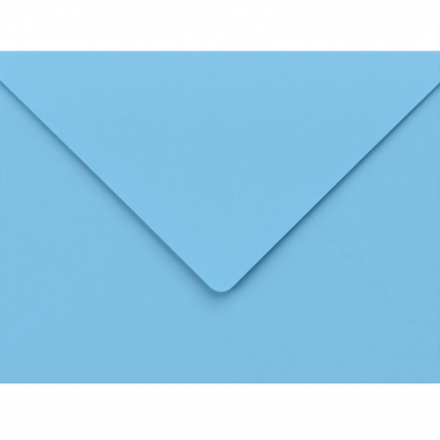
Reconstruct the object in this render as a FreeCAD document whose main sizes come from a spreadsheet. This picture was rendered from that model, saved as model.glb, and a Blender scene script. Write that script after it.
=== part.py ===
import FreeCAD, Part
import os
import Sketcher
from math import cos, pi, radians, sin

# A plain paper envelope, closed but not stuck down, lying on its address side with its flaps up.
# Millimetres. X runs along the long sides, the closure flap folds at +Y and Z is up. The origin is
# the middle of the face that the envelope lies on.
# It is one blank of paper. The side flaps fold in over the address panel, the bottom flap folds up
# over them and is gummed to them, and the closure flap folds down over all three.

document = FreeCAD.newDocument("paper_envelope")

# Driving dimensions, in millimetres and degrees
driving_dimensions = [
    ("envelope_width", 180),  # over the two side folds
    ("envelope_height", 120),  # bottom fold to closure fold
    ("paper_thickness", 0.15),  # 120 g paper
    ("pocket_gap", 0.4),  # loft of the empty pocket, between address panel and side flaps
    ("corner_relief", 0.65),  # how far past the folds each corner of the blank is notched
    ("side_flap_depth", 65),  # side fold to the flap's straight end
    ("side_flap_end_width", 44),  # before its corners are rounded
    ("side_flap_corner_radius", 8),
    ("bottom_flap_depth", 70),  # bottom fold to the flap's straight end
    ("bottom_flap_end_width", 43.5),  # before its corners are rounded
    ("bottom_flap_shoulder", 2.75),  # straight piece between the fold and the sloping edge
    ("bottom_flap_corner_radius", 8),
    ("closure_flap_point_depth", 89),  # closure fold to where the two sloping edges would meet
    ("closure_flap_shoulder", 1.3),
    ("closure_flap_tip_radius", 5.7),
    ("closure_flap_clearance", 1.0),  # over the bottom flap, next to the fold
    ("closure_flap_rise", 5.2),  # slope at which the flap leaves its fold, because paper springs back
    ("closure_flap_spring_reach", 30),  # stretch beside the fold that bends back down
    ("closure_flap_spring_radius", 400),
    ("closure_flap_curl_radius", 1150),  # the rest of the flap curls gently upwards to its tip
]
sizes = document.addObject("Spreadsheet::Sheet", "sizes")
for row, (name, number) in enumerate(driving_dimensions, start=1):
    sizes.set(f"A{row}", name)
    sizes.set(f"B{row}", str(number))
    sizes.setAlias(f"B{row}", name)
document.recompute()

# Heights of the layers and radii of the folds, which follow from the layers that each fold holds
half_width = "sizes.envelope_width / 2"
half_height = "sizes.envelope_height / 2"
side_flap_height = "(sizes.paper_thickness + sizes.pocket_gap)"
bottom_flap_height = "(2 * sizes.paper_thickness + sizes.pocket_gap)"
bottom_flap_top = "(3 * sizes.paper_thickness + sizes.pocket_gap)"
side_fold_radius = f"({side_flap_height} + sizes.paper_thickness) / 2"
bottom_fold_radius = f"{bottom_flap_top} / 2"
closure_fold_radius = f"({bottom_flap_top} + sizes.closure_flap_clearance + sizes.paper_thickness) / 2"

# Ends of the folds, where the blank's notched corners leave off
flap_end = f"{half_width} - {side_fold_radius} - sizes.corner_relief"
side_flap_end = f"{half_height} - {closure_fold_radius} - sizes.corner_relief"

body = document.addObject("PartDesign::Body", "envelope")
body.Label = "envelope"


def origin_plane(role):
    return next(feature for feature in body.Origin.OriginFeatures if feature.Role == role)


def add_sketch(name, role, height="0"):
    """Starts a sketch on one of the body's origin planes, or at a height over it."""
    sketch = body.newObject("Sketcher::SketchObject", name)
    sketch.AttachmentSupport = [(origin_plane(role), "")]
    sketch.MapMode = "FlatFace"
    sketch.setExpression("AttachmentOffset.Base.z", height)
    return sketch


def constrain(sketch, kind, *where, size=None):
    """Adds a constraint. One with a size is named after its number and bound to the expression."""
    if size is None:
        sketch.addConstraint(Sketcher.Constraint(kind, *where))
        return
    value = float(sketch.evalExpression(size))
    if kind == "Angle":
        value = radians(value)
    number = sketch.addConstraint(Sketcher.Constraint(kind, *where, value))
    sketch.renameConstraint(number, f"size_{number}")
    sketch.setExpression(f"Constraints.size_{number}", size)


def pin(sketch, edge, point, across, up):
    """Holds one point of an edge at its two distances from the sketch's origin."""
    constrain(sketch, "DistanceX", -1, 1, edge, point, size=across)
    constrain(sketch, "DistanceY", -1, 1, edge, point, size=up)


def draw_outline(sketch, corners):
    """Draws straight edges from corner to corner and back to the first."""
    points = []
    for across, up in corners:
        place = [float(sketch.evalExpression(distance)) for distance in (across, up)]
        points.append(FreeCAD.Vector(*place))
    count = len(points)
    for edge in range(count):
        sketch.addGeometry(Part.LineSegment(points[edge], points[(edge + 1) % count]))
    for edge in range(count):
        constrain(sketch, "Coincident", edge, 2, (edge + 1) % count, 1)
    for edge, corner in enumerate(corners):
        pin(sketch, edge, 1, *corner)


def round_corner(sketch, edge, radius):
    """Rounds the corner at the end of an edge."""
    before = sketch.GeometryCount
    sketch.fillet(edge, 2, float(sketch.evalExpression(radius)), True, True)
    constrain(sketch, "Radius", before, size=radius)


def add_arc(sketch, centre, radius, start, end):
    circle = Part.Circle(centre, FreeCAD.Vector(0, 0, 1), radius)
    return sketch.addGeometry(Part.ArcOfCircle(circle, start, end))


def add_end(sketch, outer, inner, point):
    """Closes a section of paper with an upright edge between the same end of its two faces."""
    faces = [sketch.Geometry[number] for number in (outer, inner)]
    ends = [face.StartPoint if point == 1 else face.EndPoint for face in faces]
    line = sketch.addGeometry(Part.LineSegment(*ends))
    constrain(sketch, "Coincident", line, 1, outer, point)
    constrain(sketch, "Coincident", line, 2, inner, point)
    constrain(sketch, "Vertical", line)
    return line


def pad(name, sketch, length, symmetric=False):
    feature = body.newObject("PartDesign::Pad", name)
    feature.Profile = sketch
    feature.SideType = "Symmetric" if symmetric else "One side"
    feature.setExpression("Length", length)
    return feature


def add_fold(name, role, edge, radius, length):
    """Adds half a turn of paper, round a fold that lies on the negative side of its sketch."""
    sketch = add_sketch(f"{name}_section", role)
    outer_radius = float(sketch.evalExpression(radius))
    inner_radius = outer_radius - sizes.paper_thickness
    across = float(sketch.evalExpression(f"{edge} + {radius}"))
    centre = FreeCAD.Vector(across, outer_radius)
    outer = add_arc(sketch, centre, outer_radius, pi / 2, 3 * pi / 2)
    inner = add_arc(sketch, centre, inner_radius, pi / 2, 3 * pi / 2)
    for point in (1, 2):
        add_end(sketch, outer, inner, point)
        constrain(sketch, "Vertical", outer, 3, outer, point)
    constrain(sketch, "Coincident", inner, 3, outer, 3)
    pin(sketch, outer, 3, f"{edge} + {radius}", radius)
    constrain(sketch, "Radius", outer, size=radius)
    constrain(sketch, "Radius", inner, size=f"{radius} - sizes.paper_thickness")
    return pad(name, sketch, length, symmetric=True)


# Address panel, flat between the centre lines of the four folds, with a notch at each corner
panel_outline = add_sketch("address_panel_outline", "XY_Plane")
panel_right = f"{half_width} - {side_fold_radius}"
panel_bottom = f"-{half_height} + {bottom_fold_radius}"
panel_top = f"{half_height} - {closure_fold_radius}"
draw_outline(panel_outline, [
    (f"-({flap_end})", panel_bottom),
    (flap_end, panel_bottom),
    (flap_end, f"-({side_flap_end})"),
    (panel_right, f"-({side_flap_end})"),
    (panel_right, side_flap_end),
    (flap_end, side_flap_end),
    (flap_end, panel_top),
    (f"-({flap_end})", panel_top),
    (f"-({flap_end})", side_flap_end),
    (f"-({panel_right})", side_flap_end),
    (f"-({panel_right})", f"-({side_flap_end})"),
    (f"-({flap_end})", f"-({side_flap_end})"),
])
pad("address_panel", panel_outline, "sizes.paper_thickness")

# Side flaps, folded in first. The left one is drawn and mirrored.
side_fold = add_fold("side_fold", "XZ_Plane", f"-{half_width}", side_fold_radius,
                     f"2 * ({side_flap_end})")
side_outline = add_sketch("side_flap_outline", "XY_Plane", side_flap_height)
side_start = f"-({panel_right})"
side_end = f"-{half_width} + sizes.side_flap_depth"
draw_outline(side_outline, [
    (side_start, f"-({side_flap_end})"),
    (side_end, "-sizes.side_flap_end_width / 2"),
    (side_end, "sizes.side_flap_end_width / 2"),
    (side_start, side_flap_end),
])
round_corner(side_outline, 0, "sizes.side_flap_corner_radius")
round_corner(side_outline, 1, "sizes.side_flap_corner_radius")
side_flap = pad("side_flap", side_outline, "sizes.paper_thickness")
side_flap_pair = body.newObject("PartDesign::Mirrored", "side_flap_pair")
side_flap_pair.Originals = [side_fold, side_flap]
side_flap_pair.MirrorPlane = (origin_plane("YZ_Plane"), [""])
body.Tip = side_flap_pair

# Bottom flap, flat on the side flaps and gummed to them along its sloping edges
fold_length = f"2 * ({flap_end})"
add_fold("bottom_fold", "YZ_Plane", f"-{half_height}", bottom_fold_radius, fold_length)
bottom_outline = add_sketch("bottom_flap_outline", "XY_Plane", bottom_flap_height)
bottom_shoulder = f"-{half_height} + sizes.bottom_flap_shoulder"
bottom_end = f"-{half_height} + sizes.bottom_flap_depth"
draw_outline(bottom_outline, [
    (f"-({flap_end})", panel_bottom),
    (flap_end, panel_bottom),
    (flap_end, bottom_shoulder),
    ("sizes.bottom_flap_end_width / 2", bottom_end),
    ("-sizes.bottom_flap_end_width / 2", bottom_end),
    (f"-({flap_end})", bottom_shoulder),
])
round_corner(bottom_outline, 2, "sizes.bottom_flap_corner_radius")
round_corner(bottom_outline, 3, "sizes.bottom_flap_corner_radius")
pad("bottom_flap", bottom_outline, "sizes.paper_thickness")

# Closure flap. Its section turns round the fold, leaves it at a rise, bends back and curls gently up.
closure_section = add_sketch("closure_flap_section", "YZ_Plane")
fold_outer = float(closure_section.evalExpression(closure_fold_radius))
fold_inner = fold_outer - sizes.paper_thickness
fold_centre = FreeCAD.Vector(float(closure_section.evalExpression(panel_top)), fold_outer)
spring_under = sizes.closure_flap_spring_radius
spring_upper = spring_under + sizes.paper_thickness
curl_under = sizes.closure_flap_curl_radius
curl_upper = curl_under - sizes.paper_thickness
rise = radians(sizes.closure_flap_rise)
level = rise - sizes.closure_flap_spring_reach / spring_under
curl_sweep = sizes.closure_flap_point_depth / curl_under
spring_centre = fold_centre + FreeCAD.Vector(sin(rise), cos(rise)) * (fold_inner - spring_under)
curl_centre = spring_centre + FreeCAD.Vector(sin(level), cos(level)) * (spring_under + curl_under)

fold_arcs = [add_arc(closure_section, fold_centre, radius, -pi / 2, pi / 2 - rise)
             for radius in (fold_outer, fold_inner)]
spring_arcs = [add_arc(closure_section, spring_centre, radius, pi / 2 - rise, pi / 2 - level)
               for radius in (spring_upper, spring_under)]
curl_start = 3 * pi / 2 - level
curl_arcs = [add_arc(closure_section, curl_centre, radius, curl_start - curl_sweep, curl_start)
             for radius in (curl_upper, curl_under)]
add_end(closure_section, *fold_arcs, 1)
tip_line = add_end(closure_section, *curl_arcs, 1)

# Two spines join the arcs' centres, so that each arc runs smoothly into the next
fold_spine = closure_section.addGeometry(Part.LineSegment(spring_centre, fold_centre), True)
curl_spine = closure_section.addGeometry(Part.LineSegment(spring_centre, curl_centre), True)
constrain(closure_section, "Coincident", fold_spine, 1, curl_spine, 1)
for fold_arc, spring_arc, curl_arc in zip(fold_arcs, spring_arcs, curl_arcs):
    constrain(closure_section, "Coincident", fold_arc, 3, fold_spine, 2)
    constrain(closure_section, "Coincident", spring_arc, 3, fold_spine, 1)
    constrain(closure_section, "Coincident", curl_arc, 3, curl_spine, 2)
    constrain(closure_section, "PointOnObject", fold_arc, 2, fold_spine)
    constrain(closure_section, "PointOnObject", spring_arc, 2, curl_spine)
    constrain(closure_section, "Coincident", fold_arc, 2, spring_arc, 1)
    constrain(closure_section, "Coincident", spring_arc, 2, curl_arc, 2)
constrain(closure_section, "Vertical", fold_arcs[0], 3, fold_arcs[0], 1)
pin(closure_section, fold_arcs[0], 3, panel_top, closure_fold_radius)
constrain(closure_section, "Radius", fold_arcs[0], size=closure_fold_radius)
constrain(closure_section, "Radius", fold_arcs[1], size=f"{closure_fold_radius} - sizes.paper_thickness")
constrain(closure_section, "Radius", spring_arcs[1], size="sizes.closure_flap_spring_radius")
constrain(closure_section, "Radius", curl_arcs[1], size="sizes.closure_flap_curl_radius")
constrain(closure_section, "Angle", fold_spine, size="(90 - sizes.closure_flap_rise) * 1 deg")
spring_end = f"{panel_top} - sizes.closure_flap_spring_reach"
constrain(closure_section, "DistanceX", -1, 1, spring_arcs[1], 2, size=spring_end)
closure_end = f"{half_height} - sizes.closure_flap_point_depth"
constrain(closure_section, "DistanceX", -1, 1, tip_line, 1, size=closure_end)
closure_strip = pad("closure_flap", closure_section, fold_length, symmetric=True)
document.recompute()
strip_volume = body.Shape.Volume

# The paper beside the closure flap's sloping edges and rounded tip is cut away, above the bottom flap
waste_outline = add_sketch("closure_flap_waste", "XY_Plane",
                           f"{bottom_flap_top} + sizes.closure_flap_clearance / 2")
closure_shoulder = f"{half_height} - sizes.closure_flap_shoulder"
past_tip = f"{half_height} - 2 * sizes.closure_flap_point_depth"
draw_outline(waste_outline, [
    (f"-{half_width}", closure_shoulder),
    (f"-{half_width}", past_tip),
    (half_width, past_tip),
    (half_width, closure_shoulder),
    (flap_end, closure_shoulder),
    ("0", closure_end),
    (f"-({flap_end})", closure_shoulder),
])
round_corner(waste_outline, 4, "sizes.closure_flap_tip_radius")
closure_cut = body.newObject("PartDesign::Pocket", "closure_flap_edges")
closure_cut.Profile = waste_outline
closure_cut.Type = "ThroughAll"
closure_cut.Reversed = True
document.recompute()

# The envelope is written only if every feature worked and the paper is one sound solid
for item in document.Objects:
    if "Invalid" in item.State or "Error" in item.State:
        raise RuntimeError(f"{item.Name} failed: {item.State}")
if body.Shape.isNull() or not body.Shape.isValid():
    raise RuntimeError("the envelope has no valid shape")
if len(body.Shape.Solids) != 1:
    raise RuntimeError("the envelope is not one solid")
if body.Shape.Volume >= strip_volume:
    raise RuntimeError("the closure flap was not cut to its outline")

os.makedirs("parts", exist_ok=True)
body.Shape.exportStep(f"parts/{body.Label}.step")
print(f"volume {body.Shape.Volume:.1f} mm3, box {body.Shape.optimalBoundingBox(True, False)}")
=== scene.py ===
import math

import bpy
import numpy as np
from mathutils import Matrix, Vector
from mathutils.geometry import delaunay_2d_cdt


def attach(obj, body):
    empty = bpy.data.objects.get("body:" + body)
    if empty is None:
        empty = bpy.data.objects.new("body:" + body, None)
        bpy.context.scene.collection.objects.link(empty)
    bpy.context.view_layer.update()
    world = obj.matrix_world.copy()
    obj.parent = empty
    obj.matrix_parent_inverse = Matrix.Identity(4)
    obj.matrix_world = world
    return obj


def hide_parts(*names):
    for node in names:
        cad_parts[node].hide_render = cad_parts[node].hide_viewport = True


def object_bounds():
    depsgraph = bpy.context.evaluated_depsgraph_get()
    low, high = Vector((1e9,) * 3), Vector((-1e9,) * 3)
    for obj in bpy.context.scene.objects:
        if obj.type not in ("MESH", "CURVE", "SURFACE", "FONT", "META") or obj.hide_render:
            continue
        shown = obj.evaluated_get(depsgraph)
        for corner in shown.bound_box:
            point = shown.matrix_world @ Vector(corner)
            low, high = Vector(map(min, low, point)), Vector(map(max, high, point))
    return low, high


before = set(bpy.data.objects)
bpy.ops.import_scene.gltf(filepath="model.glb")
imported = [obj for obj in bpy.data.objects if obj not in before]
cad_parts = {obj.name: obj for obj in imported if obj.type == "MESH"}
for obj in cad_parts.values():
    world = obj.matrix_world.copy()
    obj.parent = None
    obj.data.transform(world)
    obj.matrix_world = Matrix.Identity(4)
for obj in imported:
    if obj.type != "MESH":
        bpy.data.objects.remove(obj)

# Dresses a paper envelope that lies on its address side: the folded sheet itself, its paper, and
# a plain pale studio. Metres. X runs along the long sides, the closure flap folds at +Y, Z is up.

bl_info = {
    "name": "Paper Envelope",
    "version": (1, 0, 0),
    "blender": (4, 5, 0),
    "location": "3D View > Sidebar > Envelope",
    "description": "Folds a paper envelope from its flat blank and sets it in a pale studio",
    "category": "Add Mesh",
}

MM = 0.001
PAPER_NODE = "envelope"
CREASE_AND_SHADE_MASK = "crease_and_shade_mask"
ROOT_BODY = "root"
cad_low, cad_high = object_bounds()


def length(name, description, millimetres):
    """A size that is shown as a length. It is given in millimetres and kept in metres."""
    return bpy.props.FloatProperty(name=name, description=description, default=millimetres * MM,
                                   min=0.0, precision=5, unit="LENGTH")


def colour(name, description, hex_code):
    """A colour that is given as an sRGB hex code and kept linear."""
    return bpy.props.FloatVectorProperty(name=name, description=description, size=3, min=0.0, max=1.0,
                                         default=linear(hex_code), subtype="COLOR")


def linear(hex_code):
    """Turns an sRGB hex code such as #7fbfe3 into linear red, green and blue."""
    shares = [int(hex_code[start:start + 2], 16) / 255 for start in (1, 3, 5)]
    return [share / 12.92 if share <= 0.04045 else ((share + 0.055) / 1.055) ** 2.4 for share in shares]


class EnvelopeSizes(bpy.types.PropertyGroup):
    """Sizes of the folded envelope"""

    width: length("Width", "Over the two side folds", (cad_high.x - cad_low.x) / MM)
    height: length("Height", "Bottom fold to closure fold", (cad_high.y - cad_low.y) / MM)
    thickness: length("Paper thickness", "Thickness of the sheet", 0.15)
    pocket_gap: length("Pocket gap", "Loft of the empty pocket", 0.4)
    corner_relief: length("Corner relief", "How far past the folds each corner is notched", 0.65)
    free_edge_rounding: length("Free edge rounding", "How far the closure flap's edge is round", 0.04)
    seam_edge_rounding: length("Seam edge rounding", "How far rollers press the other edges", 0.11)
    gum_thickness: length("Gum thickness", "How far gum holds the bottom flap off the sides", 0.06)
    side_depth: length("Side flap depth", "Side fold to the flap's straight end", 65)
    side_end_width: length("Side flap end", "Width of its straight end before rounding", 44)
    side_corner_radius: length("Side flap corners", "Radius of its end corners", 8)
    bottom_depth: length("Bottom flap depth", "Bottom fold to the flap's straight end", 70)
    bottom_end_width: length("Bottom flap end", "Width of its straight end before rounding", 43.5)
    bottom_shoulder: length("Bottom flap shoulder", "Straight piece beside the fold", 2.75)
    bottom_corner_radius: length("Bottom flap corners", "Radius of its end corners", 8)
    closure_point_depth: length("Closure flap point", "Fold to where its edges would meet", 89)
    closure_shoulder: length("Closure flap shoulder", "Straight piece beside the fold", 1.5)
    closure_tip_radius: length("Closure flap tip", "Radius of its rounded tip", 5.7)
    closure_edge_bow: length("Closure edge bow", "How far its long edges bow inwards", 0.2)
    closure_clearance: length("Closure clearance", "Gap over the bottom flap at the fold", 1.0)
    closure_rise: bpy.props.FloatProperty(
        name="Closure rise", description="Slope at which the flap springs off its fold",
        default=math.radians(5.2), subtype="ANGLE")
    closure_spring_reach: length("Spring reach", "Stretch beside the fold that bends back down", 30)
    closure_spring_radius: length("Spring radius", "Radius to which that stretch bends", 400)
    closure_curl_radius: length("Curl radius", "Radius to which the rest of the flap curls up", 1150)
    pocket_swell: length("Pocket swell", "How far the empty pocket bulges in its middle", 0.12)
    waviness: length("Waviness", "Height of the slow waves that damp air gives the paper", 0.03)
    mesh_step: length("Mesh step", "Distance between the points of the mesh", 2.0)


class PaperFinish(bpy.types.PropertyGroup):
    """Colour and surface of the paper"""

    light_colour: colour("Thin fibre clouds", "Colour where the fibres lie further apart", "#81c0e2")
    deep_colour: colour("Dense fibre clouds", "Colour where the fibres lie closer", "#7bbadd")
    # The crease colour is partly the fibres that the folds break, partly painted shade: duller and
    # darker over the turn of each fold, which the lamps would otherwise light brighter.
    crease_and_shade_colour: colour("Creases", "Duller colour where the folds have broken the fibres", "#88b2ca")
    cloud_width: length("Cloud width", "Width of a cloud of fibres seen in the sheet", 1.5)
    fibre_length: length("Fibre length", "Length of the fibres that show on the face", 1.2)
    tooth_width: length("Tooth", "Distance between the small hills of the pressed surface", 0.25)
    tooth_height: length("Tooth height", "Height of those hills", 0.004)
    roughness: bpy.props.FloatProperty(name="Roughness", description="Spread of the faint shine",
                                       default=0.72, min=0.0, max=1.0, subtype="FACTOR")
    show_through: bpy.props.FloatProperty(
        name="Show-through", description="Share of each face that lets light through",
        default=0.30, min=0.0, max=0.9, subtype="FACTOR")
    through_colour: colour("Light through it", "Tint of the light that a face lets through", "#93fffa")


class StudioSettings(bpy.types.PropertyGroup):
    """Floor, lamps and camera"""

    floor_colour: colour("Floor", "Colour of the floor under the lamps", "#fafafa")
    frame_width: length("Frame width", "Width of the picture at the paper", 158.7)
    frame_centre: bpy.props.FloatVectorProperty(
        name="Frame centre", description="Point of the envelope in the middle of the picture",
        size=2, default=(-0.40 * MM, -1.03 * MM), subtype="XYZ", unit="LENGTH", precision=5)
    lens: bpy.props.FloatProperty(name="Lens", description="Focal length of the camera in millimetres",
                                  default=135, min=20)
    sky_share: bpy.props.FloatProperty(name="Sky", description="Share of the light from all round",
                                       default=0.32, min=0.0)
    sky_colour: colour("Sky colour", "Cool light that the pale room throws back", "#5deaff")
    lamp_colour: colour("Lamp colour", "Warm, so that lamps and sky are white together", "#ffe6e3")
    key_share: bpy.props.FloatProperty(name="Key lamp", description="Share of the light it gives",
                                       default=0.727, min=0.0)
    side_share: bpy.props.FloatProperty(name="Side lamp", description="Share of the light it gives",
                                        default=0.368, min=0.0)
    lamp_distance: bpy.props.FloatProperty(
        name="Lamp distance", description="From the envelope to each lamp",
        default=4.0, min=0.5, unit="LENGTH")


class Fold:
    """A fold of the blank: half a turn of paper from the edge of the address panel.

    Distances run outwards over the flat blank from where the fold starts. The flap past the fold
    lies back over the panel, at the height that its lift gives for the distance past the turn.
    """

    def __init__(self, edge, radius, thickness, slope=0.0, lift=None):
        self.start = edge - radius
        self.radius = radius
        self.middle = radius - thickness / 2
        self.turn = math.pi - slope
        self.arc_length = self.middle * self.turn
        self.flap_edge = self.start + self.middle * math.sin(slope)
        self.flap_height = radius + self.middle * math.cos(slope)
        self.lift = lift

    def flat(self, place):
        """Distance over the blank, from the panel's centre, of a place on the folded flap."""
        return self.start + self.arc_length + self.flap_edge - place

    def section(self, distance):
        """Place from the panel's centre, and height, of the paper's middle layer."""
        along = distance - self.start
        angle = np.clip(along, 0.0, self.arc_length) / self.middle - math.pi / 2
        past = np.maximum(along - self.arc_length, 0.0)
        place = self.start + self.middle * np.cos(angle) - past
        height = self.radius + self.middle * np.sin(angle)
        if self.lift is not None:
            height = height + self.lift(past)
        return place, height


def closure_lift(sizes):
    """Height of the closure flap past its fold: it springs off the crease, bends back and curls up."""
    rise = math.sin(sizes.closure_rise)
    reach = sizes.closure_spring_reach
    bend = 1 / sizes.closure_spring_radius
    curl = 1 / sizes.closure_curl_radius

    def lift(past):
        near = np.minimum(past, reach)
        beyond = past - near
        return (rise - bend * near / 2) * near + (rise - bend * reach + curl * beyond / 2) * beyond

    return lift


class Blank:
    """The flat sheet, its outline and how it folds."""

    def __init__(self, sizes):
        self.sizes = sizes
        layer = sizes.thickness
        gap = sizes.pocket_gap
        half_width = sizes.width / 2
        half_height = sizes.height / 2
        self.side = Fold(half_width, (2 * layer + gap) / 2, layer)
        self.bottom = Fold(half_height, (3 * layer + gap + sizes.gum_thickness) / 2, layer)
        self.closure = Fold(half_height, (4 * layer + gap + sizes.closure_clearance) / 2, layer,
                            sizes.closure_rise, closure_lift(sizes))

    def corners(self):
        """Right half of the outline, upwards: across, up, corner radius and bow of the next edge."""
        sizes = self.sizes
        half_width = sizes.width / 2
        half_height = sizes.height / 2
        notch_across = self.side.start - sizes.corner_relief
        notch_up = self.closure.start - sizes.corner_relief
        side_turn = self.side.flat(self.side.start)
        side_end = self.side.flat(half_width - sizes.side_depth)
        bottom_end = self.bottom.flat(half_height - sizes.bottom_depth)
        bottom_shoulder = self.bottom.flat(half_height - sizes.bottom_shoulder)
        closure_shoulder = self.closure.flat(half_height - sizes.closure_shoulder)
        closure_point = self.closure.flat(half_height - sizes.closure_point_depth)
        return [
            (sizes.bottom_end_width / 2, -bottom_end, sizes.bottom_corner_radius, 0),
            (notch_across, -bottom_shoulder, 0, 0),
            (notch_across, -notch_up, 0, 0),
            (side_turn, -notch_up, 0, 0),
            (side_end, -sizes.side_end_width / 2, sizes.side_corner_radius, 0),
            (side_end, sizes.side_end_width / 2, sizes.side_corner_radius, 0),
            (side_turn, notch_up, 0, 0),
            (notch_across, notch_up, 0, 0),
            (notch_across, closure_shoulder, 0, sizes.closure_edge_bow),
            (0, closure_point, sizes.closure_tip_radius, sizes.closure_edge_bow),
        ]

    def outline(self):
        """Points round the whole blank, anticlockwise."""
        right = self.corners()
        left = [(-across, up, radius, 0) for across, up, radius, bow in reversed(right[:-1])]
        return rounded_path(right + left, self.sizes.mesh_step / 2)

    def fold_lines(self):
        """Rows of points across each fold, from beyond one end of it to beyond the other."""
        rows = []
        half_width = self.sizes.width / 2
        half_height = self.sizes.height / 2
        for fold, steps, reach in ((self.side, 8, half_height), (self.bottom, 8, half_width),
                                   (self.closure, 14, half_width)):
            for distance in fold.start + fold.arc_length * np.linspace(0, 1, steps + 1):
                along = np.linspace(-reach, reach, round(2 * reach / self.sizes.mesh_step) + 1)
                across = np.full_like(along, distance)
                if fold is self.side:
                    rows.append(np.column_stack((across, along)))
                    rows.append(np.column_stack((-across, along)))
                elif fold is self.bottom:
                    rows.append(np.column_stack((along, -across)))
                else:
                    rows.append(np.column_stack((along, across)))
        return rows

    def place(self, flat):
        """Folds points of the blank: the paper's middle layer, in the envelope's frame."""
        across, up = flat[:, 0], flat[:, 1]
        x, y = across.copy(), up.copy()
        z = np.full_like(x, self.sizes.thickness / 2)
        on_side = np.abs(across) > self.side.start
        place, height = self.side.section(np.abs(across[on_side]))
        x[on_side] = np.sign(across[on_side]) * place
        z[on_side] = height
        on_bottom = up < -self.bottom.start
        place, height = self.bottom.section(-up[on_bottom])
        y[on_bottom] = -place
        z[on_bottom] = height
        on_closure = up > self.closure.start
        place, height = self.closure.section(up[on_closure])
        y[on_closure] = place
        z[on_closure] = height
        upper = on_side | on_bottom | on_closure
        z[upper] += self.unevenness(x[upper], y[upper], z[upper])
        return np.column_stack((x, y, z))

    def crease_and_shade_mask(self, flat):
        """Share of each point's paper that is creased: all of it where a fold turns over. The crease
        colour, partly painted shade, goes on by this share.
        """
        across, up = np.abs(flat[:, 0]), flat[:, 1]
        share = np.zeros(len(flat))
        for fold, distance in ((self.side, across), (self.bottom, -up), (self.closure, up)):
            turned = np.clip((distance - fold.start) / fold.arc_length, 0, 1)
            share = np.maximum(share, np.sin(math.pi * turned))
        return share

    def unevenness(self, x, y, z):
        """How far the paper of the upper layers strays from flat. It dies out at the folds."""
        sizes = self.sizes
        inside_x = np.clip(1 - (x / (sizes.width / 2)) ** 2, 0, 1)
        inside_y = np.clip(1 - (y / (sizes.height / 2)) ** 2, 0, 1)
        free = inside_x * inside_y
        full_height = self.side.radius * 2 - sizes.thickness
        loft = np.clip((z - sizes.thickness) / (full_height - sizes.thickness), 0, 1)
        waves = np.zeros_like(x)
        longest = 61
        for wave_length, direction, phase in ((longest, 0.4, 0.7), (43, 1.5, 2.1),
                                              (34, 2.5, 4.0), (27, 0.9, 5.3)):
            turned = x * math.cos(direction) + y * math.sin(direction)
            waves += np.sin(2 * math.pi * turned / (wave_length * MM) + phase) * wave_length / longest
        return loft * (sizes.pocket_swell * free + sizes.waviness * waves * np.sqrt(free))


def rounded_path(corners, step):
    """Points round a closed outline whose corners have radii and whose edges may bow inwards."""
    count = len(corners)
    arc_step = step / 3
    fewest_arc_pieces = 4
    places = np.array([corner[:2] for corner in corners])
    starts, ends, arcs = [], [], []
    for number, (*_, radius, _) in enumerate(corners):
        here = places[number]
        back = places[number - 1] - here
        ahead = places[(number + 1) % count] - here
        back /= np.linalg.norm(back)
        ahead /= np.linalg.norm(ahead)
        half_angle = math.acos(np.clip(back @ ahead, -1, 1)) / 2
        reach = radius / math.tan(half_angle)
        first, last = here + back * reach, here + ahead * reach
        arc = [first]
        if radius:
            bisector = (back + ahead) / np.linalg.norm(back + ahead)
            centre = here + bisector * radius / math.sin(half_angle)
            sweep = math.pi - 2 * half_angle
            pieces = max(fewest_arc_pieces, math.ceil(radius * sweep / arc_step))
            from_angle = math.atan2(*(first - centre)[::-1])
            for part in range(1, pieces + 1):
                angle = from_angle + sweep * part / pieces
                arc.append(centre + radius * np.array((math.cos(angle), math.sin(angle))))
        arcs.append(arc)
        starts.append(first)
        ends.append(last)
    points = []
    for number, (*_, bow) in enumerate(corners):
        points.extend(arcs[number])
        run = starts[(number + 1) % count] - ends[number]
        pieces = max(1, round(np.linalg.norm(run) / step))
        inwards = np.array((-run[1], run[0])) / np.linalg.norm(run)
        for part in range(1, pieces):
            share = part / pieces
            # A parabola that reaches the whole bow halfway along the edge
            points.append(ends[number] + run * share + inwards * bow * 4 * share * (1 - share))
    return np.array(points)


def depth_inside(points, outline):
    """Distance from each point to a closed outline, below zero for the points outside it."""
    nearest = np.full(len(points), np.inf)
    inside = np.zeros(len(points), dtype=bool)
    for start, end in zip(outline, np.roll(outline, -1, axis=0)):
        run = end - start
        offset = points - start
        share = np.clip(offset @ run / (run @ run), 0, 1)
        nearest = np.minimum(nearest, np.linalg.norm(offset - share[:, None] * run, axis=1))
        if run[1]:
            level = (start[1] > points[:, 1]) != (end[1] > points[:, 1])
            inside ^= level & (offset[:, 0] < offset[:, 1] * run[0] / run[1])
    return np.where(inside, nearest, -nearest)


def mesh_blank(blank):
    """Triangles over the flat blank: its points, and three numbers of points for each triangle."""
    step = blank.sizes.mesh_step
    edge_margin = step * 0.4
    fold_margin = step * 0.2
    outline = blank.outline()
    low, high = outline.min(axis=0), outline.max(axis=0)
    columns = np.arange(low[0], high[0], step)
    rows = np.arange(low[1], high[1], step)
    grid = np.array(np.meshgrid(columns, rows)).reshape(2, -1).T
    clear = depth_inside(grid, outline) > edge_margin
    for fold, axis, sign in ((blank.side, 0, 1), (blank.side, 0, -1), (blank.bottom, 1, -1),
                             (blank.closure, 1, 1)):
        along = grid[:, axis] * sign - fold.start
        clear &= (along < -fold_margin) | (along > fold.arc_length + fold_margin)
    points = [outline, grid[clear]]
    count = len(outline)
    edges = [(number, (number + 1) % count) for number in range(count)]
    total = count + int(clear.sum())
    for row in blank.fold_lines():
        points.append(row)
        edges.extend((total + number, total + number + 1) for number in range(len(row) - 1))
        total += len(row)
    whole_hull = 0
    closeness = 1e-8
    made = delaunay_2d_cdt([Vector(point) for point in np.concatenate(points)], edges, [],
                           whole_hull, closeness, False)
    flat = np.array([tuple(point) for point in made[0]])
    triangles = np.array(made[2])
    first, second, third = (flat[triangles[:, corner]] for corner in range(3))
    turn = np.cross(second - first, third - first)
    triangles[turn < 0] = triangles[turn < 0][:, ::-1]
    triangles = triangles[depth_inside((first + second + third) / 3, outline) > 0]
    used, numbers = np.unique(triangles, return_inverse=True)
    return flat[used], numbers.reshape(-1, 3)


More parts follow.
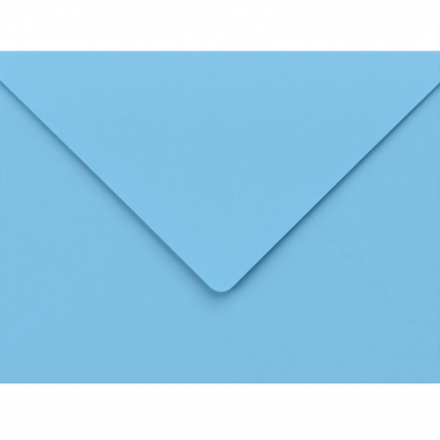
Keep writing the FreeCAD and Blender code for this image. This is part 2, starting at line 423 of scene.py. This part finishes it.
def boundary_loop(triangles):
    """The numbers of the points round the edge of the sheet, anticlockwise."""
    edges = np.concatenate((triangles[:, (0, 1)], triangles[:, (1, 2)], triangles[:, (2, 0)]))
    both_ways = {tuple(edge) for edge in edges.tolist()}
    following = {start: end for start, end in both_ways if (end, start) not in both_ways}
    first = next(iter(following))
    loop = [first]
    while following[loop[-1]] != first:
        loop.append(following[loop[-1]])
    if len(loop) != len(following):
        raise RuntimeError("the blank's edge is not one loop")
    return np.array(loop)


def unit(vectors):
    return vectors / np.linalg.norm(vectors, axis=1)[:, None]


def folded_directions(blank, flat):
    """Where the blank's own two directions point at each place once it is folded."""
    nudge = 0.002 * MM
    along_x = blank.place(flat + (nudge, 0)) - blank.place(flat - (nudge, 0))
    along_y = blank.place(flat + (0, nudge)) - blank.place(flat - (0, nudge))
    return along_x, along_y


def rim_outward(rim_flat, along_x, along_y):
    """The way out of the folded sheet, within the sheet, at each point of its edge."""
    runs = unit(np.roll(rim_flat, -1, axis=0) - rim_flat)
    ahead = unit(runs + np.roll(runs, 1, axis=0))
    outward_flat = np.column_stack((ahead[:, 1], -ahead[:, 0]))
    return unit(outward_flat[:, :1] * along_x + outward_flat[:, 1:] * along_y)


def build_sheet_mesh(blank):
    """Folds the meshed blank and gives it the paper's two faces and its rounded cut edge."""
    sizes = blank.sizes
    flat, triangles = mesh_blank(blank)
    loop = boundary_loop(triangles)
    middle = blank.place(flat)
    along_x, along_y = folded_directions(blank, flat)
    outside = -unit(np.cross(along_x, along_y))
    outward = rim_outward(flat[loop], along_x[loop], along_y[loop])
    half = sizes.thickness / 2
    free = flat[loop, 1:] > blank.closure.start
    pull = np.where(free, sizes.free_edge_rounding, sizes.seam_edge_rounding)
    faces_out = middle + outside * half
    faces_in = middle - outside * half
    faces_out[loop] -= outward * pull
    faces_in[loop] -= outward * pull
    rim_steps = 6
    vertices = [faces_out, faces_in]
    normals = [outside, -outside]
    for part in range(1, rim_steps):
        angle = math.pi * (0.5 - part / rim_steps)
        across, up = math.cos(angle), math.sin(angle)
        vertices.append(middle[loop] + outward * pull * (across - 1) + outside[loop] * half * up)
        normals.append(unit(outward * across + outside[loop] * up))
    count = len(flat)
    rings = [loop]
    for part in range(rim_steps - 1):
        rings.append(2 * count + part * len(loop) + np.arange(len(loop)))
    rings.append(count + loop)
    faces = triangles[:, ::-1].tolist() + (triangles + count).tolist()
    for upper, lower in zip(rings, rings[1:]):
        faces += np.column_stack((upper, np.roll(upper, -1), np.roll(lower, -1), lower)).tolist()
    mesh = bpy.data.meshes.new("folded_sheet")
    mesh.from_pydata(np.concatenate(vertices).tolist(), [], faces)
    mesh.validate()
    mesh.shade_smooth()
    mesh.normals_split_custom_set_from_vertices(np.concatenate(normals).tolist())
    # Where each fold turns over: there the paper takes its crease colour, which is partly painted
    # shade.
    crease_and_shade_mask = blank.crease_and_shade_mask(flat)
    shares = np.concatenate([crease_and_shade_mask, crease_and_shade_mask] + [crease_and_shade_mask[loop]] * (rim_steps - 1))
    mesh.attributes.new(CREASE_AND_SHADE_MASK, "FLOAT", "POINT").data.foreach_set("value", shares)
    return mesh


def add_node(tree, kind, sockets=None, **settings):
    """Adds a node, sets it up, and gives each named socket its value or its link."""
    node = tree.nodes.new(kind)
    for name, value in settings.items():
        setattr(node, name, value)
    for name, value in (sockets or {}).items():
        if isinstance(value, bpy.types.NodeSocket):
            tree.links.new(value, node.inputs[name])
        else:
            node.inputs[name].default_value = value
    return node


def new_tree(owner):
    owner.use_nodes = True
    owner.node_tree.nodes.clear()
    return owner.node_tree


def face_share(finish):
    """What to multiply the paper's colour by for one face of the sheet.

    Light that a face lets in is thrown back and forth between the sheet's two faces, and part of it
    comes out again where it went in. This leaves that part out, so the sheet shows its colour.
    """
    seen = (np.array(finish.light_colour) + np.array(finish.deep_colour)) / 2
    passed = finish.show_through * np.array(finish.through_colour)
    face = seen
    rounds_to_settle = 10
    for _ in range(rounds_to_settle):
        face = seen / (1 + passed ** 2 / (1 - face ** 2))
    return tuple(face / seen / (1 - finish.show_through))


def wove_paper(finish):
    """Uncoated wove paper, dyed in the pulp and pressed between felts.

    It gives the eye an even, matt colour with faint clouds where the fibres lie closer, single
    fibres that only just show, a fine tooth that keeps its shine wide and weak, and duller folds,
    partly for the fibres that a fold breaks and partly as painted shade over each fold's turn.
    """
    material = bpy.data.materials.new("wove_paper_dyed_uncoated")
    tree = new_tree(material)
    place = add_node(tree, "ShaderNodeTexCoord").outputs["Object"]
    clouds = add_node(tree, "ShaderNodeTexNoise", {
        "Vector": place, "Scale": 1 / finish.cloud_width, "Detail": 3.0, "Roughness": 0.6})
    fibre_slimness = 6
    along, across = 1 / finish.fibre_length, fibre_slimness / finish.fibre_length
    stretched = add_node(tree, "ShaderNodeMapping", {"Vector": place, "Scale": (along, across, along)})
    fibres = add_node(tree, "ShaderNodeTexNoise", {
        "Vector": stretched.outputs["Vector"], "Scale": 1.0, "Detail": 2.0, "Distortion": 1.5})
    mottle = add_node(tree, "ShaderNodeMix", {
        "Factor": 0.5, "A": clouds.outputs["Fac"], "B": fibres.outputs["Fac"]})
    spread = add_node(tree, "ShaderNodeMapRange", {
        "Value": mottle.outputs["Result"], "From Min": 0.36, "From Max": 0.64})
    tint = add_node(tree, "ShaderNodeMix", {
        "Factor": spread.outputs["Result"], "A": (*finish.deep_colour, 1),
        "B": (*finish.light_colour, 1)}, data_type="RGBA")
    # Folds are mixed toward the crease colour: partly fibres broken by the fold, partly painted shade
    # that darkens the turn the lamps light brighter.
    crease_and_shade_share = add_node(tree, "ShaderNodeAttribute", attribute_name=CREASE_AND_SHADE_MASK)
    creased_and_shaded = add_node(tree, "ShaderNodeMix", {
        "Factor": crease_and_shade_share.outputs["Fac"], "A": tint.outputs["Result"],
        "B": (*finish.crease_and_shade_colour, 1)}, data_type="RGBA")
    tooth = add_node(tree, "ShaderNodeTexNoise", {
        "Vector": place, "Scale": 1 / finish.tooth_width, "Detail": 4.0, "Roughness": 0.55})
    relief = add_node(tree, "ShaderNodeMix", {
        "Factor": 0.4, "A": tooth.outputs["Fac"], "B": fibres.outputs["Fac"]})
    bump = add_node(tree, "ShaderNodeBump", {
        "Height": relief.outputs["Result"], "Distance": finish.tooth_height, "Strength": 1.0})
    sent_back = add_node(tree, "ShaderNodeVectorMath", {
        0: creased_and_shaded.outputs["Result"], 1: face_share(finish)}, operation="MULTIPLY")
    surface = add_node(tree, "ShaderNodeBsdfPrincipled", {
        "Base Color": sent_back.outputs["Vector"], "Roughness": finish.roughness, "IOR": 1.47,
        "Specular IOR Level": 0.35, "Normal": bump.outputs["Normal"]})
    through = add_node(tree, "ShaderNodeBsdfTranslucent", {"Color": (*finish.through_colour, 1)})
    sheet = add_node(tree, "ShaderNodeMixShader", {
        0: finish.show_through, 1: surface.outputs["BSDF"], 2: through.outputs["BSDF"]})
    add_node(tree, "ShaderNodeOutputMaterial", {"Surface": sheet.outputs["Shader"]})
    return material


class ENVELOPE_OT_fold_sheet(bpy.types.Operator):
    """Fold the envelope from its flat blank, in dyed wove paper"""

    bl_idname = "envelope.fold_sheet"
    bl_label = "Fold the Sheet"

    def execute(self, context):
        blank = Blank(context.scene.envelope_sizes)
        sheet = bpy.data.objects.new("folded_sheet", build_sheet_mesh(blank))
        context.collection.objects.link(sheet)
        sheet.data.materials.append(wove_paper(context.scene.envelope_paper))
        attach(sheet, ROOT_BODY)
        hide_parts(PAPER_NODE)
        return {"FINISHED"}


def background_rays(tree):
    """One for the rays that show the background: seen directly, in a shine or through a clear piece.

    Light that the paper spreads as it lets it through is left out, so white adds nothing to it.
    """
    path = add_node(tree, "ShaderNodeLightPath").outputs
    seen = add_node(tree, "ShaderNodeMath", {
        0: path["Is Camera Ray"], 1: path["Is Glossy Ray"]}, operation="MAXIMUM")
    clear = add_node(tree, "ShaderNodeMath", {
        0: path["Is Transmission Ray"], 1: path["Is Diffuse Ray"]}, operation="SUBTRACT")
    either = add_node(tree, "ShaderNodeMath", {
        0: seen.outputs["Value"], 1: clear.outputs["Value"]}, operation="MAXIMUM")
    return either.outputs["Value"]


def matt_floor(studio):
    """Matt painted board. It is seen nearly white, with what is left of the shadow on it."""
    material = bpy.data.materials.new("matt_painted_board")
    tree = new_tree(material)
    whiteness = 0.9
    share = add_node(tree, "ShaderNodeMath", {
        0: background_rays(tree), 1: whiteness}, operation="MULTIPLY")
    lit = add_node(tree, "ShaderNodeBsdfDiffuse", {"Color": (*studio.floor_colour, 1)})
    white = add_node(tree, "ShaderNodeEmission", {"Color": (1, 1, 1, 1), "Strength": 1.0})
    both = add_node(tree, "ShaderNodeMixShader", {
        0: share.outputs["Value"], 1: lit.outputs["BSDF"], 2: white.outputs["Emission"]})
    add_node(tree, "ShaderNodeOutputMaterial", {"Surface": both.outputs["Shader"]})
    return material


def add_floor(context, studio):
    """A square of floor that reaches some metres from the envelope on every side."""
    reach = 4.0
    mesh = bpy.data.meshes.new("floor")
    corners = [(-reach, -reach, 0), (reach, -reach, 0), (reach, reach, 0), (-reach, reach, 0)]
    mesh.from_pydata(corners, [], [(0, 1, 2, 3)])
    mesh.materials.append(matt_floor(studio))
    floor = bpy.data.objects.new("floor", mesh)
    context.collection.objects.link(floor)


def light_world(context, studio):
    """An even sky for the light, and plain white where the background shows past the floor."""
    world = bpy.data.worlds.new("studio_sky")
    context.scene.world = world
    tree = new_tree(world)
    sky = add_node(tree, "ShaderNodeBackground", {
        "Color": (*studio.sky_colour, 1), "Strength": studio.sky_share})
    white = add_node(tree, "ShaderNodeBackground", {"Color": (1, 1, 1, 1), "Strength": 1.0})
    both = add_node(tree, "ShaderNodeMixShader", {
        0: background_rays(tree), 1: sky.outputs["Background"], 2: white.outputs["Background"]})
    add_node(tree, "ShaderNodeOutputWorld", {"Surface": both.outputs["Shader"]})


def add_softbox(context, studio, name, azimuth, elevation, width, height, share):
    """A rectangular lamp aimed at the envelope. Shares of one in all render a colour as written."""
    distance = studio.lamp_distance
    lamp = bpy.data.lights.new(name, "AREA")
    lamp.shape = "RECTANGLE"
    lamp.color = studio.lamp_colour
    lamp.size = width
    lamp.size_y = height
    across = distance * math.cos(elevation)
    place = Vector((across * math.cos(azimuth), across * math.sin(azimuth),
                    distance * math.sin(elevation)))
    # Power for an irradiance of pi times the share, taking the lamp as small for its distance
    lamp.energy = share * math.pi ** 2 * distance ** 2 / math.sin(elevation)
    holder = bpy.data.objects.new(name, lamp)
    holder.location = place
    holder.rotation_mode = "QUATERNION"
    holder.rotation_quaternion = place.to_track_quat("Z", "Y")
    context.collection.objects.link(holder)


class ENVELOPE_OT_set_stage(bpy.types.Operator):
    """Set up the pale floor, the studio light and the camera over the envelope"""

    bl_idname = "envelope.set_stage"
    bl_label = "Set the Stage"

    def execute(self, context):
        studio = context.scene.envelope_studio
        sizes = context.scene.envelope_sizes
        add_floor(context, studio)
        light_world(context, studio)
        for name, azimuth, elevation, width, height, share in (
                ("key_softbox", 74, 46, 2.7, 3.7, studio.key_share),
                ("side_softbox", 175, 42, 2.4, 3.1, studio.side_share)):
            add_softbox(context, studio, name, math.radians(azimuth), math.radians(elevation),
                        width, height, share)
        camera = bpy.data.cameras.new("camera")
        camera.lens = studio.lens
        holder = bpy.data.objects.new("camera", camera)
        context.collection.objects.link(holder)
        paper_top = 3 * sizes.thickness + sizes.pocket_gap
        distance = studio.frame_width * studio.lens / camera.sensor_width
        holder.location = (*studio.frame_centre, paper_top + distance)
        camera.clip_start = distance / 100
        camera.clip_end = 20.0
        context.scene.camera = holder
        context.scene.view_settings.view_transform = "Standard"
        return {"FINISHED"}


class VIEW3D_PT_envelope(bpy.types.Panel):
    """Lists the envelope's sizes, paper and studio, and the steps that make them"""

    bl_idname = "VIEW3D_PT_envelope"
    bl_label = "Paper Envelope"
    bl_space_type = "VIEW_3D"
    bl_region_type = "UI"
    bl_category = "Envelope"

    def draw(self, context):
        scene = context.scene
        for settings, operator in ((scene.envelope_sizes, None),
                                   (scene.envelope_paper, ENVELOPE_OT_fold_sheet),
                                   (scene.envelope_studio, ENVELOPE_OT_set_stage)):
            box = self.layout.box()
            for name in settings.__annotations__:
                box.prop(settings, name)
            if operator:
                box.operator(operator.bl_idname)


CLASSES = (EnvelopeSizes, PaperFinish, StudioSettings, ENVELOPE_OT_fold_sheet, ENVELOPE_OT_set_stage,
           VIEW3D_PT_envelope)


def register():
    for each in CLASSES:
        bpy.utils.register_class(each)
    bpy.types.Scene.envelope_sizes = bpy.props.PointerProperty(type=EnvelopeSizes)
    bpy.types.Scene.envelope_paper = bpy.props.PointerProperty(type=PaperFinish)
    bpy.types.Scene.envelope_studio = bpy.props.PointerProperty(type=StudioSettings)


def unregister():
    del bpy.types.Scene.envelope_studio
    del bpy.types.Scene.envelope_paper
    del bpy.types.Scene.envelope_sizes
    for each in reversed(CLASSES):
        bpy.utils.unregister_class(each)


def main():
    register()
    bpy.ops.envelope.fold_sheet()
    bpy.ops.envelope.set_stage()


if __name__ == "__main__":
    main()
